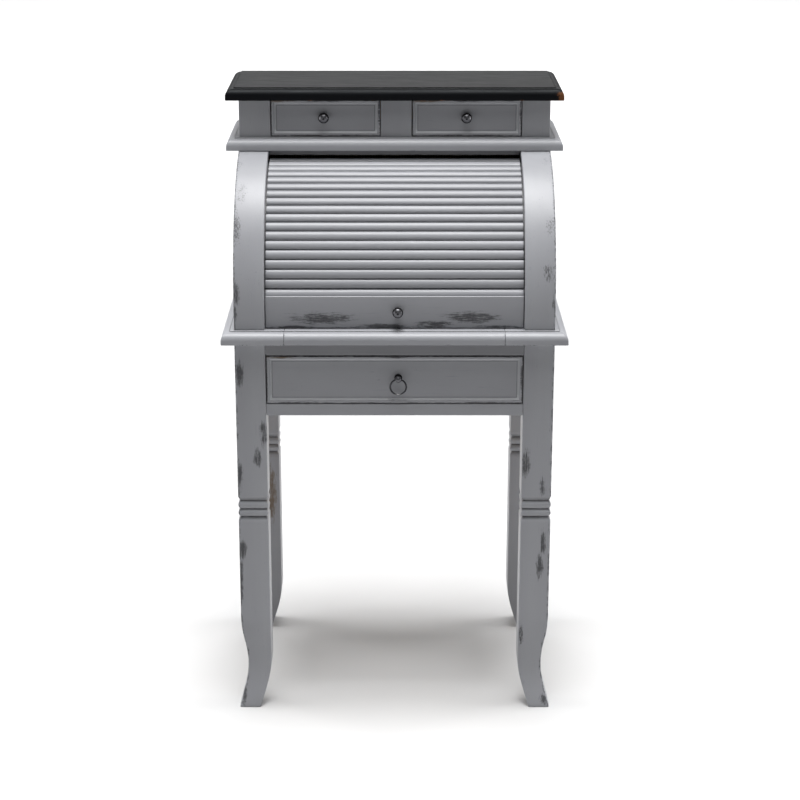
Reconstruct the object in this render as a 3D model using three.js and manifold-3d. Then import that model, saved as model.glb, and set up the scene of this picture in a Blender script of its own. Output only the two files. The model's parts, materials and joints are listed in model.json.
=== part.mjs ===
// Roll top desk: a narrow writing desk on four sabre legs, with one wide drawer and a
// pull-out writing board, a quarter-round tambour hutch above it and two small drawers on top.
// Millimetres, +X to the right, +Y to the back, +Z up. The origin lies on the floor under the
// middle of the desk.
import * as THREE from 'three';
import { mergeVertices } from 'three/addons/utils/BufferGeometryUtils.js';
import Module from 'manifold-3d';

const wasm = await Module();
wasm.setup();

// Driving dimensions. "Setback" is the distance behind the front edge of the writing surface.
const WIDTH = 650;
const DEPTH = 466;
const FRONT = -DEPTH / 2;
const BACK = DEPTH / 2;

const DESK_UNDER = 754;
const DESK_TOP = 778;
const CORNICE_UNDER = 1077.5;
const CORNICE_TOP = 1101;
const TOP_UNDER = 1174;
const TOP_TOP = 1197.5;
const CORNICE_SETBACK = 231;
const TOP_SETBACK = 234;

const MOULD = { flat: 8, inset: 16, step: 1.5 };

const LEG = { outer: 301.5, width: 58, frontSetback: 24, rearBack: 463 };
const FOOT = { waistWidth: 46.5, waistHeight: 90, soleIn: 266, soleOut: 307.5, sabreTop: 190 };
const RINGS = { low: 396, grooves: [402.8, 418.5, 435.5], high: 444, depth: 4 };

const APRON = { low: 609, opening: 632, openingTop: 728, thickness: 22 };
const SIDE_APRON = { outer: 299.5, thickness: 20 };
const RUNNER = { ledge: 30, guide: 9.5, ledgeHeight: 20, guideTop: 655 };

const BOARD = { half: 206.5, length: 330, tongueFrom: 215, tongueOut: 6, clearance: 0.5 };
const DESKTOP_SPLIT = 207;

// The arch's centre line runs along X. Its angles are in degrees, from 0 facing the front.
const ARCH = { y: FRONT + 292, z: 812, outer: 271, inner: 256 };
const BAND = { inner: 243.5, outer: 301 };
const PANEL = 18;
const LINER = { thickness: 12, drop: 10 };
const CANVAS = 245;
const CANVAS_BEND = 160;
const BEND_FROM = 80;
const HUTCH_BACK = 5.5;
const COMPARTMENT_BACK = { from: 404, to: 412, top: 970 };
const VALANCE = { from: 246, to: 256, low: 1067 };

const RAIL = { from: -7.2, faceTo: 6.3, to: 9, face: 262.5, bead: 256.5, beadTop: 248 };
const SLAT = { count: 17, first: 9.2, pitch: 4.203, width: 17.4, edge: 2.5, height: 9 };
const TAMBOUR = { half: 241.5, tongue: 262, knobAngle: 0 };

const CABINET = { half: 300.5, setback: 255, back: 460, stile: 18, wall: 14, backPanel: 7 };
const BAY = { width: 213.5, leftFrom: -240, rightFrom: 33 };

const FRONT_FRAME = { flat: 5.5, slope: 4.5, recess: 4 };
const SMALL_DRAWER = {
  clearance: 1.25, front: 16, short: 8, lift: 1, height: 54, wall: 9, floor: 6, knobZ: 1138,
};
const DESK_DRAWER = {
  clearance: 1.5, front: 20, back: 420, top: 710, wall: 12, bottom: { z0: 643, z1: 648, into: 5 },
};
const KNOB_X = { left: -137, right: 139, tambour: 6 };
const RING_PULL = { x: 7, z: 683, ball: 6.5, out: 11, hole: 3.3, wire: 1.7, radius: 15 };
const GAP = 0.3;

// Finishes
const greyPaint = new THREE.MeshStandardMaterial({ color: 0x85878b, roughness: 0.55 });
const blackPaint = new THREE.MeshStandardMaterial({ color: 0x1c1d20, roughness: 0.35 });
const darkMetal = new THREE.MeshStandardMaterial({ color: 0x35353a, roughness: 0.4, metalness: 0.8 });
const bareWood = new THREE.MeshStandardMaterial({ color: 0xb08a5e, roughness: 0.7 });
const plywood = new THREE.MeshStandardMaterial({ color: 0xc2a274, roughness: 0.75 });

const desk = new THREE.Group();
const radians = THREE.MathUtils.degToRad;
const setback = (distance) => FRONT + distance;

// Solids

function toSolid(geometry) {
  const plain = geometry.index ? geometry.toNonIndexed() : geometry.clone();
  plain.deleteAttribute('normal');
  plain.deleteAttribute('uv');
  const merged = mergeVertices(plain, 1e-4);
  return new wasm.Manifold(new wasm.Mesh({
    numProp: 3,
    vertProperties: merged.attributes.position.array,
    triVerts: Uint32Array.from(merged.index.array),
  }));
}

function toGeometry(solid) {
  const mesh = solid.getMesh();
  const geometry = new THREE.BufferGeometry();
  geometry.setAttribute('position', new THREE.BufferAttribute(mesh.vertProperties, 3));
  geometry.setIndex(new THREE.BufferAttribute(mesh.triVerts, 1));
  geometry.computeVertexNormals();
  return geometry;
}

function box(x0, x1, y0, y1, z0, z1) {
  const geometry = new THREE.BoxGeometry(x1 - x0, y1 - y0, z1 - z0);
  return toSolid(geometry.translate((x0 + x1) / 2, (y0 + y1) / 2, (z0 + z1) / 2));
}

function extrude(outline, length, curveSegments, axes) {
  const options = { depth: length, bevelEnabled: false, curveSegments };
  const geometry = new THREE.ExtrudeGeometry(outline, options);
  return toSolid(geometry.applyMatrix4(new THREE.Matrix4().makeBasis(...axes)));
}

const X_AXIS = new THREE.Vector3(1, 0, 0);
const Y_AXIS = new THREE.Vector3(0, 1, 0);
const Z_AXIS = new THREE.Vector3(0, 0, 1);

// An outline in (Y, Z), drawn out along X from x0 to x1.
function extrudeX(outline, x0, x1, curveSegments = 8) {
  return extrude(outline, x1 - x0, curveSegments, [Y_AXIS, Z_AXIS, X_AXIS]).translate([x0, 0, 0]);
}

// An outline in (X, Z), drawn out along Y from y0 to y1.
function extrudeY(outline, y0, y1, curveSegments = 8) {
  const axes = [X_AXIS, Z_AXIS, Y_AXIS.clone().negate()];
  return extrude(outline, y1 - y0, curveSegments, axes).translate([0, y1, 0]);
}

// An outline in (X, Y), drawn out along Z from z0 to z1.
function extrudeZ(outline, z0, z1, curveSegments = 8) {
  return extrude(outline, z1 - z0, curveSegments, [X_AXIS, Y_AXIS, Z_AXIS]).translate([0, 0, z0]);
}

function polygon(points) {
  return new THREE.Shape(points.map(([u, v]) => new THREE.Vector2(u, v)));
}

function addPiece(name, solid, material) {
  const mesh = new THREE.Mesh(toGeometry(solid), material);
  mesh.name = name;
  desk.add(mesh);
  return mesh;
}

function addPair(name, makeSolid, material) {
  addPiece(`${name}_left`, makeSolid(-1), material);
  addPiece(`${name}_right`, makeSolid(1), material);
}

// A box on one side of the desk: inner and outer are distances from the middle plane.
function sideBox(side, inner, outer, y0, y1, z0, z1) {
  const x0 = side > 0 ? inner : -outer;
  return box(x0, x0 + outer - inner, y0, y1, z0, z1);
}

// Legs

// Appends one face of a leg to an outline, from the foot up or from the top down, with the
// turned rings cut into it. "inward" is the direction of the wood seen from that face.
function ringPoints(face, inward) {
  const [low, middle, high] = RINGS.grooves;
  const bottom = face + inward * RINGS.depth;
  const points = [[face, RINGS.low], [bottom, low]];
  for (const [from, to] of [[low, middle], [middle, high]]) {
    for (const step of [1, 2, 3, 4, 5]) {
      const across = step / 3 - 1;
      const height = from + (to - from) * step / 6;
      points.push([face + inward * RINGS.depth * across ** 2, height]);
    }
    points.push([bottom, to]);
  }
  points.push([face, RINGS.high]);
  return points;
}

// The curved face of a sabre foot, from the floor up: "sole" and "face" are its places at the
// floor and on the straight leg, "waist" is where it is drawn in furthest.
function sabrePoints(sole, waist, face, waistHeight, top) {
  const lower = new THREE.CubicBezierCurve(
    new THREE.Vector2(sole, 0),
    new THREE.Vector2(sole + (waist - sole) * 0.45, waistHeight * 0.36),
    new THREE.Vector2(waist, waistHeight * 0.62),
    new THREE.Vector2(waist, waistHeight),
  );
  const upper = new THREE.CubicBezierCurve(
    new THREE.Vector2(waist, waistHeight),
    new THREE.Vector2(waist, waistHeight + (top - waistHeight) * 0.4),
    new THREE.Vector2(face, top - (top - waistHeight) * 0.4),
    new THREE.Vector2(face, top),
  );
  const points = [...lower.getPoints(7)];
  if (Math.abs(waist - face) > 1) points.push(...upper.getPoints(5).slice(1));
  return points.map((point) => [point.x, point.y]);
}

// The leg's outline in one upright plane. "outer" is the face that the foot kicks towards.
function legOutline(outer, inner, kicks) {
  const inward = Math.sign(inner - outer);
  const outerFace = [];
  const innerFace = [];
  if (kicks) {
    const waist = inner - inward * FOOT.waistWidth;
    const soleOut = outer - inward * (FOOT.soleOut - LEG.outer);
    const soleIn = outer + inward * (LEG.outer - FOOT.soleIn);
    outerFace.push(...sabrePoints(soleOut, waist, outer, FOOT.waistHeight, FOOT.sabreTop));
    innerFace.push(...sabrePoints(soleIn, inner, inner, FOOT.waistHeight + 12, 0));
  } else {
    outerFace.push([outer, 0]);
    innerFace.push([inner, 0]);
  }
  outerFace.push(...ringPoints(outer, inward), [outer, DESK_UNDER]);
  innerFace.push(...ringPoints(inner, -inward), [inner, DESK_UNDER]);
  return polygon([...outerFace, ...innerFace.reverse()]);
}

function leg(side, y0, y1, front) {
  const outer = side * LEG.outer;
  const inner = side * (LEG.outer - LEG.width);
  const across = extrudeY(legOutline(outer, inner, true), y0 - LEG.width, y1 + LEG.width);
  const along = front ? legOutline(y0, y1, true) : legOutline(y1, y0, false);
  const reach = LEG.outer + LEG.width;
  return across.intersect(extrudeX(along, -reach, reach));
}

function addLegs() {
  const frontLeg = setback(LEG.frontSetback);
  const rearLeg = setback(LEG.rearBack) - LEG.width;
  addPair('leg_front', (side) => leg(side, frontLeg, frontLeg + LEG.width, true), greyPaint);
  addPair('leg_rear', (side) => leg(side, rearLeg, rearLeg + LEG.width, false), greyPaint);
}

// Aprons and drawer runners

function runner(side) {
  const inner = LEG.outer - LEG.width;
  const y0 = setback(LEG.frontSetback) + APRON.thickness;
  const y1 = setback(LEG.rearBack) - APRON.thickness;
  const outline = polygon([
    [side * (inner - RUNNER.ledge), APRON.opening - RUNNER.ledgeHeight],
    [side * inner, APRON.opening - RUNNER.ledgeHeight],
    [side * inner, RUNNER.guideTop],
    [side * (inner - RUNNER.guide), RUNNER.guideTop],
    [side * (inner - RUNNER.guide), APRON.opening],
    [side * (inner - RUNNER.ledge), APRON.opening],
  ]);
  return extrudeY(outline, y0, y1);
}

function addAprons() {
  const inner = LEG.outer - LEG.width;
  const y0 = setback(LEG.frontSetback);
  const y1 = y0 + APRON.thickness;
  const rear = setback(LEG.rearBack);
  const between = [y0 + LEG.width, rear - LEG.width];
  const sideInner = SIDE_APRON.outer - SIDE_APRON.thickness;
  addPiece('apron_top_rail', box(-inner, inner, y0, y1, APRON.openingTop, DESK_UNDER), greyPaint);
  addPiece('apron_bottom_rail', box(-inner, inner, y0, y1, APRON.low, APRON.opening), greyPaint);
  addPiece('apron_rear', box(-inner, inner, rear - APRON.thickness, rear, APRON.low, DESK_UNDER), greyPaint);
  addPair('apron_side', (side) => sideBox(
    side, sideInner, SIDE_APRON.outer, ...between, APRON.low, DESK_UNDER,
  ), greyPaint);
  addPair('drawer_runner', runner, bareWood);
}

// Moulded boards

// The section of a moulded edge, from the underside up: a flat, a quarter-round and a step.
function edgePoints(edge, inward, under, top) {
  const height = top - under - MOULD.flat - MOULD.step;
  const points = [[edge, under]];
  for (let step = 0; step <= 8; step += 1) {
    const angle = Math.PI / 2 * step / 8;
    const across = MOULD.inset * (1 - Math.cos(angle));
    points.push([edge + inward * across, under + MOULD.flat + height * Math.sin(angle)]);
  }
  points.push([edge + inward * MOULD.inset, top]);
  return points;
}

// A board whose front and both ends are moulded, and whose back edge is square.
function mouldedBoard(front, under, top) {
  const half = WIDTH / 2;
  const ends = [...edgePoints(-half, 1, under, top), ...edgePoints(half, -1, under, top).reverse()];
  const run = [...edgePoints(front, 1, under, top), [BACK, top], [BACK, under]];
  const lengthwise = extrudeX(polygon(run), -half, half);
  return lengthwise.intersect(extrudeY(polygon(ends), front, BACK));
}

function addDesktop() {
  const half = WIDTH / 2;
  const board = () => mouldedBoard(FRONT, DESK_UNDER, DESK_TOP);
  const boardBack = setback(BOARD.length);
  const middle = (DESK_UNDER + DESK_TOP) / 2;
  const tongue = { y0: setback(BOARD.tongueFrom), z0: middle - 4, z1: middle + 4 };
  const grooveOut = DESKTOP_SPLIT + BOARD.tongueOut + BOARD.clearance;

  addPair('desktop', (side) => {
    const groove = sideBox(side, DESKTOP_SPLIT - 1, grooveOut, setback(12),
      boardBack + BOARD.clearance, tongue.z0 - BOARD.clearance, tongue.z1 + BOARD.clearance);
    return board().intersect(sideBox(side, DESKTOP_SPLIT, half, FRONT, BACK, DESK_UNDER, DESK_TOP))
      .subtract(groove);
  }, greyPaint);
  addPiece('desktop_rear', box(-DESKTOP_SPLIT, DESKTOP_SPLIT, boardBack + BOARD.clearance, BACK,
    DESK_UNDER, DESK_TOP), greyPaint);

  const tongueReach = DESKTOP_SPLIT + BOARD.tongueOut - BOARD.clearance;
  const leaf = board().intersect(
    box(-BOARD.half, BOARD.half, FRONT, boardBack, DESK_UNDER + BOARD.clearance, DESK_TOP),
  );
  const tongues = box(-tongueReach, tongueReach, tongue.y0, boardBack, tongue.z0, tongue.z1);
  addPiece('writing_board', leaf.add(tongues), greyPaint);
}

// Hutch

// A point at a radius and an angle on the arch, where 0 degrees faces the front.
function archPoint(radius, degrees) {
  const angle = radians(degrees);
  return [ARCH.y - radius * Math.cos(angle), ARCH.z + radius * Math.sin(angle)];
}

function archArc(radius, from, to, steps) {
  return Array.from({ length: steps + 1 }, (_, step) => (
    archPoint(radius, from + (to - from) * step / steps)
  ));
}

// The band stands upright from the desktop up to the arch's centre, then follows the arch.
function archBand(side) {
  const ring = [
    [ARCH.y - ARCH.outer, DESK_TOP], ...archArc(ARCH.outer, 0, 93, 31),
    ...archArc(ARCH.inner, 0, 93, 31).reverse(), [ARCH.y - ARCH.inner, DESK_TOP],
  ];
  const x0 = side > 0 ? BAND.inner : -BAND.outer;
  const width = BAND.outer - BAND.inner;
  const bounds = box(x0, x0 + width, FRONT, ARCH.y, DESK_TOP, CORNICE_UNDER);
  return extrudeX(polygon(ring), x0, x0 + width).intersect(bounds);
}

function hutchSide(side) {
  const back = setback(LEG.rearBack);
  const radius = ARCH.inner - GAP;
  const outline = polygon([
    [ARCH.y - radius, DESK_TOP],
    ...archArc(radius, 0, 90, 24),
    [ARCH.y + GAP, ARCH.z + radius],
    [ARCH.y + GAP, CORNICE_UNDER],
    [back, CORNICE_UNDER],
    [back, DESK_TOP],
  ]);
  const x0 = side > 0 ? BAND.outer - PANEL : -BAND.outer;
  return extrudeX(outline, x0, x0 + PANEL);
}

// The inner wall stops short of the tambour's path, and with the arch band forms its track.
function hutchLiner(side) {
  const front = CANVAS - LINER.drop;
  const bend = CANVAS_BEND - LINER.drop;
  const [bendY, bendZ] = archPoint(CANVAS - CANVAS_BEND, BEND_FROM);
  const points = [[ARCH.y - front, DESK_TOP], ...archArc(front, 0, BEND_FROM, 18)];
  for (let step = 1; step <= 14; step += 1) {
    const angle = radians(BEND_FROM + (180 - BEND_FROM) * step / 14);
    points.push([bendY - bend * Math.cos(angle), bendZ + bend * Math.sin(angle)]);
  }
  points.push([bendY + bend, DESK_TOP]);
  const x0 = side > 0 ? BAND.inner : -BAND.inner - LINER.thickness;
  return extrudeX(polygon(points), x0, x0 + LINER.thickness);
}

function addHutch() {
  const inner = BAND.inner;
  const side = BAND.outer - PANEL;
  const back = setback(LEG.rearBack);
  addPair('hutch_side', hutchSide, greyPaint);
  addPair('arch_band', archBand, greyPaint);
  addPair('hutch_liner', hutchLiner, greyPaint);
  const { from, to, top } = COMPARTMENT_BACK;
  addPiece('hutch_back', box(-side, side, back - HUTCH_BACK, back, DESK_TOP, CORNICE_UNDER), plywood);
  addPiece('compartment_back', box(-inner, inner, setback(from), setback(to), DESK_TOP, top), greyPaint);
  addPiece('valance', box(-inner, inner, setback(VALANCE.from), setback(VALANCE.to), VALANCE.low,
    CORNICE_UNDER), greyPaint);
}

// Tambour

function slatOutline() {
  const half = SLAT.width / 2;
  const outline = new THREE.Shape();
  outline.moveTo(-half, 0);
  outline.lineTo(half, 0);
  outline.lineTo(half, SLAT.edge);
  outline.absellipse(0, SLAT.edge, half, SLAT.height - SLAT.edge, 0, Math.PI, false);
  outline.closePath();
  return outline;
}

function addTambour() {
  const { half, tongue } = TAMBOUR;
  const face = archArc(RAIL.face, RAIL.from, RAIL.faceTo, 4);
  const bead = [0, 1, 2, 3, 4, 5].map((step) => archPoint(
    RAIL.beadTop + (RAIL.bead - RAIL.beadTop) * Math.cos(Math.PI / 2 * step / 5),
    RAIL.faceTo + (RAIL.to - RAIL.faceTo) * Math.sin(Math.PI / 2 * step / 5),
  ));
  const inner = [archPoint(CANVAS, RAIL.to), archPoint(CANVAS, RAIL.from)];
  const middle = (RAIL.from + RAIL.to) / 2;
  const tongueOuter = [RAIL.from, middle, RAIL.to].map((at) => archPoint(CANVAS + SLAT.edge, at));
  const rail = extrudeX(polygon([...face, ...bead, ...inner]), -half, half);
  const railTongue = extrudeX(polygon([...tongueOuter, ...inner]), -tongue, tongue);
  addPiece('tambour_rail', rail.add(railTongue), greyPaint);

  const slatWidth = SLAT.width / 2;
  const slat = extrudeX(slatOutline(), -half, half, 10)
    .add(box(-tongue, tongue, -slatWidth, slatWidth, 0, SLAT.edge));
  for (let index = 0; index < SLAT.count; index += 1) {
    const angle = SLAT.first + SLAT.pitch * (index + 0.5);
    const [y, z] = archPoint(CANVAS, angle);
    const mesh = addPiece(`tambour_slat_${String(index + 1).padStart(2, '0')}`, slat, greyPaint);
    mesh.position.set(0, y, z);
    mesh.rotation.x = radians(90 - angle);
  }
}

// Cabinet

// A boxed stile: a front face with a wall running back from each of its edges.
function boxedStile(x0, x1) {
  const y0 = setback(CABINET.setback);
  const y1 = setback(CABINET.back) - CABINET.backPanel;
  const outline = polygon([
    [x0, y0], [x1, y0], [x1, y1], [x1 - CABINET.wall, y1],
    [x1 - CABINET.wall, y0 + CABINET.stile], [x0 + CABINET.wall, y0 + CABINET.stile],
    [x0 + CABINET.wall, y1], [x0, y1],
  ]);
  return extrudeZ(outline, CORNICE_TOP, TOP_UNDER);
}

function addCabinet() {
  const half = CABINET.half;
  const back = setback(CABINET.back);
  addPiece('cornice_board', mouldedBoard(setback(CORNICE_SETBACK), CORNICE_UNDER, CORNICE_TOP), greyPaint);
  addPiece('cabinet_stile_left', boxedStile(-half, BAY.leftFrom), greyPaint);
  addPiece('cabinet_stile_middle', boxedStile(BAY.leftFrom + BAY.width, BAY.rightFrom), greyPaint);
  addPiece('cabinet_stile_right', boxedStile(BAY.rightFrom + BAY.width, half), greyPaint);
  addPiece('cabinet_back', box(-half, half, back - CABINET.backPanel, back, CORNICE_TOP, TOP_UNDER), plywood);
  addPiece('top_board', mouldedBoard(setback(TOP_SETBACK), TOP_UNDER, TOP_TOP), blackPaint);
}

// Drawers

// A drawer front with a sunk panel: a flat border, then a slope down to the panel.
function drawerFront(x0, x1, y0, y1, z0, z1) {
  const { flat, slope, recess } = FRONT_FRAME;
  const outer = [x0 + flat, x1 - flat, z0 + flat, z1 - flat];
  const frame = (inset) => polygon([
    [outer[0] + inset, outer[2] + inset], [outer[1] - inset, outer[2] + inset],
    [outer[1] - inset, outer[3] - inset], [outer[0] + inset, outer[3] - inset],
  ]);
  let front = box(x0, x1, y0, y1, z0, z1);
  const steps = 3;
  for (let step = 0; step < steps; step += 1) {
    const depth = recess * (step + 1) / steps;
    front = front.subtract(extrudeY(frame(slope * (step + 0.5) / steps), y0 - 1, y0 + depth));
  }
  return front;
}

// The three-sided box behind a drawer front, open at the front and the top.
function drawerWalls(x0, x1, y0, y1, z0, z1, wall) {
  return extrudeZ(polygon([
    [x0, y0], [x0 + wall, y0], [x0 + wall, y1 - wall], [x1 - wall, y1 - wall],
    [x1 - wall, y0], [x1, y0], [x1, y1], [x0, y1],
  ]), z0, z1);
}

function turnedKnob() {
  const profile = [
    [0, 0], [7.2, 0], [7.2, 1.5], [4, 3], [3.6, 7], [6.2, 8.5], [9.5, 10.5],
    [10.2, 13], [9.2, 15.5], [5.8, 17.4], [0, 18],
  ];
  return toSolid(new THREE.LatheGeometry(profile.map(([r, h]) => new THREE.Vector2(r, h)), 20));
}

// A turned knob standing out to the front, tilted up from level by the given angle.
function addKnob(name, x, y, z, tilt) {
  const mesh = addPiece(name, turnedKnob(), darkMetal);
  mesh.position.set(x, y, z);
  mesh.rotation.x = radians(180 - tilt);
}

function addSmallDrawer(side, bayFrom) {
  const { clearance, front, short, lift, height, wall, floor, knobZ } = SMALL_DRAWER;
  const x0 = bayFrom + clearance;
  const x1 = bayFrom + BAY.width - clearance;
  const y0 = setback(CABINET.setback);
  const trayBack = setback(CABINET.back) - CABINET.backPanel - short;
  const z0 = CORNICE_TOP + lift;
  const z1 = TOP_UNDER - lift - 0.5;
  const trayLow = z0 + 0.5;
  const tray = [x0 + 2, x1 - 2, y0 + front, trayBack, trayLow];
  const walls = drawerWalls(...tray, z0 + height, wall);
  addPiece(`${side}_drawer_front`, drawerFront(x0, x1, y0, y0 + front, z0, z1), greyPaint);
  addPiece(`${side}_drawer_tray`, walls.add(box(...tray, trayLow + floor)), bareWood);
  addKnob(`${side}_drawer_knob`, KNOB_X[side], y0 + FRONT_FRAME.recess - GAP, knobZ, 0);
}

function addDeskDrawer() {
  const { clearance, bottom, wall } = DESK_DRAWER;
  const halfFront = LEG.outer - LEG.width - clearance;
  const y0 = setback(LEG.frontSetback);
  const frontBack = y0 + DESK_DRAWER.front;
  const boxBack = setback(DESK_DRAWER.back);
  const z0 = APRON.opening + clearance;
  const z1 = APRON.openingTop - clearance;
  const half = halfFront - RUNNER.guide;
  const bottomHalf = half - wall + bottom.into;
  const bottomBack = boxBack - wall + bottom.into;
  const walls = drawerWalls(-half, half, frontBack, boxBack, APRON.opening + 0.5, DESK_DRAWER.top, wall);
  const groove = box(-bottomHalf - GAP, bottomHalf + GAP, frontBack - 1, bottomBack + GAP,
    bottom.z0 - GAP, bottom.z1 + GAP);
  addPiece('desk_drawer_front', drawerFront(-halfFront, halfFront, y0, frontBack, z0, z1), greyPaint);
  addPiece('desk_drawer_box', walls.subtract(groove), bareWood);
  addPiece('desk_drawer_bottom', box(-bottomHalf, bottomHalf, frontBack, bottomBack,
    bottom.z0, bottom.z1), plywood);
  addRingPull(y0 + FRONT_FRAME.recess);
}

// A ball on a short neck, drilled crosswise, with a ring hanging in the hole.
function addRingPull(panel) {
  const { x, z, ball, out, hole, wire, radius } = RING_PULL;
  const flange = [[0, GAP], [7.5, GAP], [7.5, 1.4], [5.6, 2.6], [3.8, 3.2], [3.8, out], [0, out]];
  const neck = toSolid(new THREE.LatheGeometry(flange.map(([r, h]) => new THREE.Vector2(r, h)), 20));
  const sphere = toSolid(new THREE.SphereGeometry(ball, 20, 12).translate(0, out, 0));
  const drill = new THREE.CylinderGeometry(hole, hole, 4 * ball, 18);
  const bore = toSolid(drill.rotateZ(Math.PI / 2).translate(0, out, 0));
  const post = addPiece('ring_pull_post', neck.add(sphere).subtract(bore), darkMetal);
  post.position.set(x, panel, z);
  post.rotation.x = Math.PI;

  const section = new THREE.Path().absarc(radius, 0, wire, 0, 2 * Math.PI);
  const ring = new THREE.LatheGeometry(section.getPoints(5), 40);
  const mesh = addPiece('ring_pull', toSolid(ring), darkMetal);
  mesh.position.set(x, panel - out, z - radius);
}

function addDrawers() {
  addDeskDrawer();
  addSmallDrawer('left', BAY.leftFrom);
  addSmallDrawer('right', BAY.rightFrom);
}

addLegs();
addAprons();
addDesktop();
addHutch();
addTambour();
addCabinet();
addDrawers();
addKnob('tambour_knob', KNOB_X.tambour, ...archPoint(RAIL.face + GAP, TAMBOUR.knobAngle),
  TAMBOUR.knobAngle);

export default desk;
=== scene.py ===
import json
import math

import bmesh
import bpy
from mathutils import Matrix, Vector, noise

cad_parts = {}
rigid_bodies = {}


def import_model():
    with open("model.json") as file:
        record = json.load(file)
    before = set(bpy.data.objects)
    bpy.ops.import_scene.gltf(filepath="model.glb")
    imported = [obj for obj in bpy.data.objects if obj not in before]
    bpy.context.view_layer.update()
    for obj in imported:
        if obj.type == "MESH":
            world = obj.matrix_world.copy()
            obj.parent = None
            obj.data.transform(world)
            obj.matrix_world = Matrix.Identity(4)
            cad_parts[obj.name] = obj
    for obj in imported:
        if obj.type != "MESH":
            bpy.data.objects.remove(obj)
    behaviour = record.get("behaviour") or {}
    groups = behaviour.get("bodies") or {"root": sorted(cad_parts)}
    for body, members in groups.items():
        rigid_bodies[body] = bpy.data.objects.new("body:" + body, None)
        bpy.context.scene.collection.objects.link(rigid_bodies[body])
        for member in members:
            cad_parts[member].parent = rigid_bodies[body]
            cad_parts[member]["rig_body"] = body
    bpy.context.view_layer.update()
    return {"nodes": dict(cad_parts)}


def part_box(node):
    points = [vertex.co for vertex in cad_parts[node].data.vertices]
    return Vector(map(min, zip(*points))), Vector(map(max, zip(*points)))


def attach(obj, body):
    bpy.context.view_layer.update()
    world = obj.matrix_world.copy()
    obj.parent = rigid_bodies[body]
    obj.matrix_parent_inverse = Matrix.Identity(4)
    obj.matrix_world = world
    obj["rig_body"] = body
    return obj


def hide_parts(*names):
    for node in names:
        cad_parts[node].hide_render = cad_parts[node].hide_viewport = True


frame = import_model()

MM = 0.001
scene = bpy.context.scene

# Shape details that the frame's boxes don't give, in metres and degrees.
ARCH_Y, ARCH_Z = 0.059, 0.812           # the arch's centre line, along X
BAND_OUTER, BAND_INNER = 0.271, 0.256   # radii of the curved bands
CANVAS_R = 0.245                        # radius of the line that the slats' backs follow
CANVAS_BEND, BEND_FROM = 0.160, 80      # its tighter radius beyond this angle
LINER_DROP = 0.010                      # how far the liners' rims lie inside that line
SLAT_COUNT, SLAT_FIRST, SLAT_PITCH = 17, 9.2, 4.203
SLAT_WIDTH, SLAT_EDGE, SLAT_HEIGHT = 0.0174, 0.0025, 0.009
TAMBOUR_HALF = 0.2415                   # half the tambour's visible length
TONGUE_HALF = 0.262                     # the same with the tongues that run in the grooves

# The camera that the photo's perspective gives.
CAMERA_PLACE = (0, -3.8305, 1.7999)
CAMERA_TURN = 72.241
CAMERA_LENS, CAMERA_SENSOR, CAMERA_SHIFT = 90.27, 36, 0.0068


# ---------------------------------------------------------------- node helpers

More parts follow.
